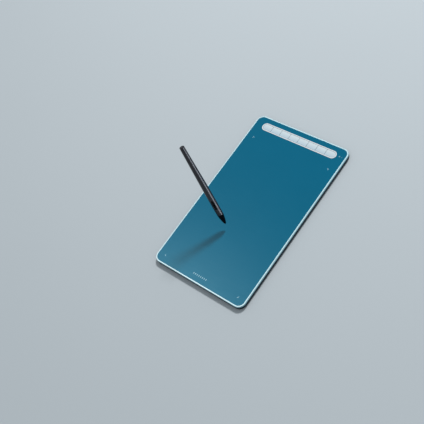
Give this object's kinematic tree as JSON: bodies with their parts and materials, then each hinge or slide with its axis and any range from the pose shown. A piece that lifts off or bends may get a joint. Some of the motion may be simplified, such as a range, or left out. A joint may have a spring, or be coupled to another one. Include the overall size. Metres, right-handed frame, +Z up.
{
  "type": "pen drawing tablet",
  "caption": "Slim desktop drawing tablet with a bevelled clear rim, a strip of press keys beside the drawing area, and a cordless pen held over it.",
  "frame": {"origin": "on the surface that the feet stand on, under the middle of the case", "axes": "+X along the case's length from the key strip to the plain end, +Y across it, +Z up out of the drawing face"},
  "size_m": [0.312, 0.183, 0.1604],
  "materials": {
    "cover_plastic": "clear ice-blue moulded plastic, polished bevel",
    "drawing_sheet": "teal printed film with a fine matt drawing texture",
    "shell_plastic": "dark navy moulded plastic, fine spark texture",
    "foot_rubber": "matt black rubber",
    "screw_steel": "blackened steel",
    "key_plastic": "silver-white satin plastic",
    "switch_plastic": "black moulded nylon",
    "board_laminate": "green solder mask over glass laminate",
    "chip_resin": "black moulded resin",
    "light_lens": "clear lens resin",
    "connector_nylon": "natural nylon",
    "adhesive_film": "clear film adhesive",
    "shield_steel": "thin plated steel",
    "flex_film": "amber polyimide film",
    "battery_foil": "foil pouch",
    "foam": "black closed-cell foam",
    "wire_insulation": "soft wire insulation",
    "pen_body_plastic": "graphite satin soft-touch plastic",
    "pen_cone_plastic": "black satin plastic",
    "nib_plastic": "black hard acetal",
    "cradle_nylon": "grey nylon",
    "ferrite": "sintered ferrite",
    "coil_copper": "enamelled copper wire"
  },
  "bodies": {
    "tablet": {"clear_cover": "cover_plastic", "drawing_surface": "drawing_sheet", "back_shell": "shell_plastic", "rubber_feet": "foot_rubber", "case_screws": "screw_steel", "key_bezel": "key_plastic", "key_switches": "switch_plastic", "controller_board": "board_laminate", "board_chips": "chip_resin", "indicator_leds": "light_lens", "battery_connector": "connector_nylon", "flex_connector": "connector_nylon", "indicator_light_pipes": "cover_plastic", "adhesive_sheet": "adhesive_film", "sensor_board": "board_laminate", "shield_plate": "shield_steel", "flex_cable": "flex_film", "battery_cell": "battery_foil", "battery_foam": "foam", "battery_lead": "wire_insulation", "socket_shell": "shield_steel", "socket_tongue": "switch_plastic", "power_switch": "switch_plastic"},
    "key_1": {"key_1": "key_plastic", "key_plunger_1": "switch_plastic"},
    "key_2": {"key_2": "key_plastic", "key_plunger_2": "switch_plastic"},
    "key_3": {"key_3": "key_plastic", "key_plunger_3": "switch_plastic"},
    "key_4": {"key_4": "key_plastic", "key_plunger_4": "switch_plastic"},
    "key_5": {"key_5": "key_plastic", "key_plunger_5": "switch_plastic"},
    "key_6": {"key_6": "key_plastic", "key_plunger_6": "switch_plastic"},
    "key_7": {"key_7": "key_plastic", "key_plunger_7": "switch_plastic"},
    "key_8": {"key_8": "key_plastic", "key_plunger_8": "switch_plastic"},
    "power_button": {"power_button": "shell_plastic", "power_switch_plunger": "switch_plastic"},
    "pen": {"pen_cone": "pen_cone_plastic", "pen_barrel": "pen_body_plastic", "pen_end_cap": "pen_body_plastic", "pen_switches": "switch_plastic", "pen_circuit_board": "board_laminate", "pen_cradle": "cradle_nylon", "pen_ferrite_core": "ferrite", "pen_coil": "coil_copper", "pen_force_sensor": "cradle_nylon"},
    "nib": {"pen_nib": "nib_plastic"},
    "pen_button_front": {"pen_button_front": "pen_cone_plastic"},
    "pen_button_rear": {"pen_button_rear": "pen_cone_plastic"}
  },
  "joints": [
    {"name": "key_1_press", "type": "slide", "parent": "tablet", "child": "key_1", "axis": [0, 0, -1], "range_m": [0, 0.0004], "stiffness_N_per_m": 400},
    {"name": "key_2_press", "type": "slide", "parent": "tablet", "child": "key_2", "axis": [0, 0, -1], "range_m": [0, 0.0004], "stiffness_N_per_m": 400},
    {"name": "key_3_press", "type": "slide", "parent": "tablet", "child": "key_3", "axis": [0, 0, -1], "range_m": [0, 0.0004], "stiffness_N_per_m": 400},
    {"name": "key_4_press", "type": "slide", "parent": "tablet", "child": "key_4", "axis": [0, 0, -1], "range_m": [0, 0.0004], "stiffness_N_per_m": 400},
    {"name": "key_5_press", "type": "slide", "parent": "tablet", "child": "key_5", "axis": [0, 0, -1], "range_m": [0, 0.0004], "stiffness_N_per_m": 400},
    {"name": "key_6_press", "type": "slide", "parent": "tablet", "child": "key_6", "axis": [0, 0, -1], "range_m": [0, 0.0004], "stiffness_N_per_m": 400},
    {"name": "key_7_press", "type": "slide", "parent": "tablet", "child": "key_7", "axis": [0, 0, -1], "range_m": [0, 0.0004], "stiffness_N_per_m": 400},
    {"name": "key_8_press", "type": "slide", "parent": "tablet", "child": "key_8", "axis": [0, 0, -1], "range_m": [0, 0.0004], "stiffness_N_per_m": 400},
    {"name": "power_press", "type": "slide", "parent": "tablet", "child": "power_button", "axis": [1, 0, 0], "range_m": [0, 0.0004], "stiffness_N_per_m": 400},
    {"name": "pen_lift", "type": "slide", "parent": "tablet", "child": "pen", "axis": [0, 0, 1], "range_m": [-0.0102, 0.06]},
    {"name": "nib_press", "type": "slide", "parent": "pen", "child": "nib", "axis": [-0.2092, -0.358, 0.91], "range_m": [0, 0.0006], "stiffness_N_per_m": 500},
    {"name": "pen_button_front_press", "type": "slide", "parent": "pen", "child": "pen_button_front", "axis": [-0.6669, -0.6283, -0.4006], "range_m": [0, 0.0003], "stiffness_N_per_m": 400},
    {"name": "pen_button_rear_press", "type": "slide", "parent": "pen", "child": "pen_button_rear", "axis": [-0.6669, -0.6283, -0.4006], "range_m": [0, 0.0003], "stiffness_N_per_m": 400}
  ]
}
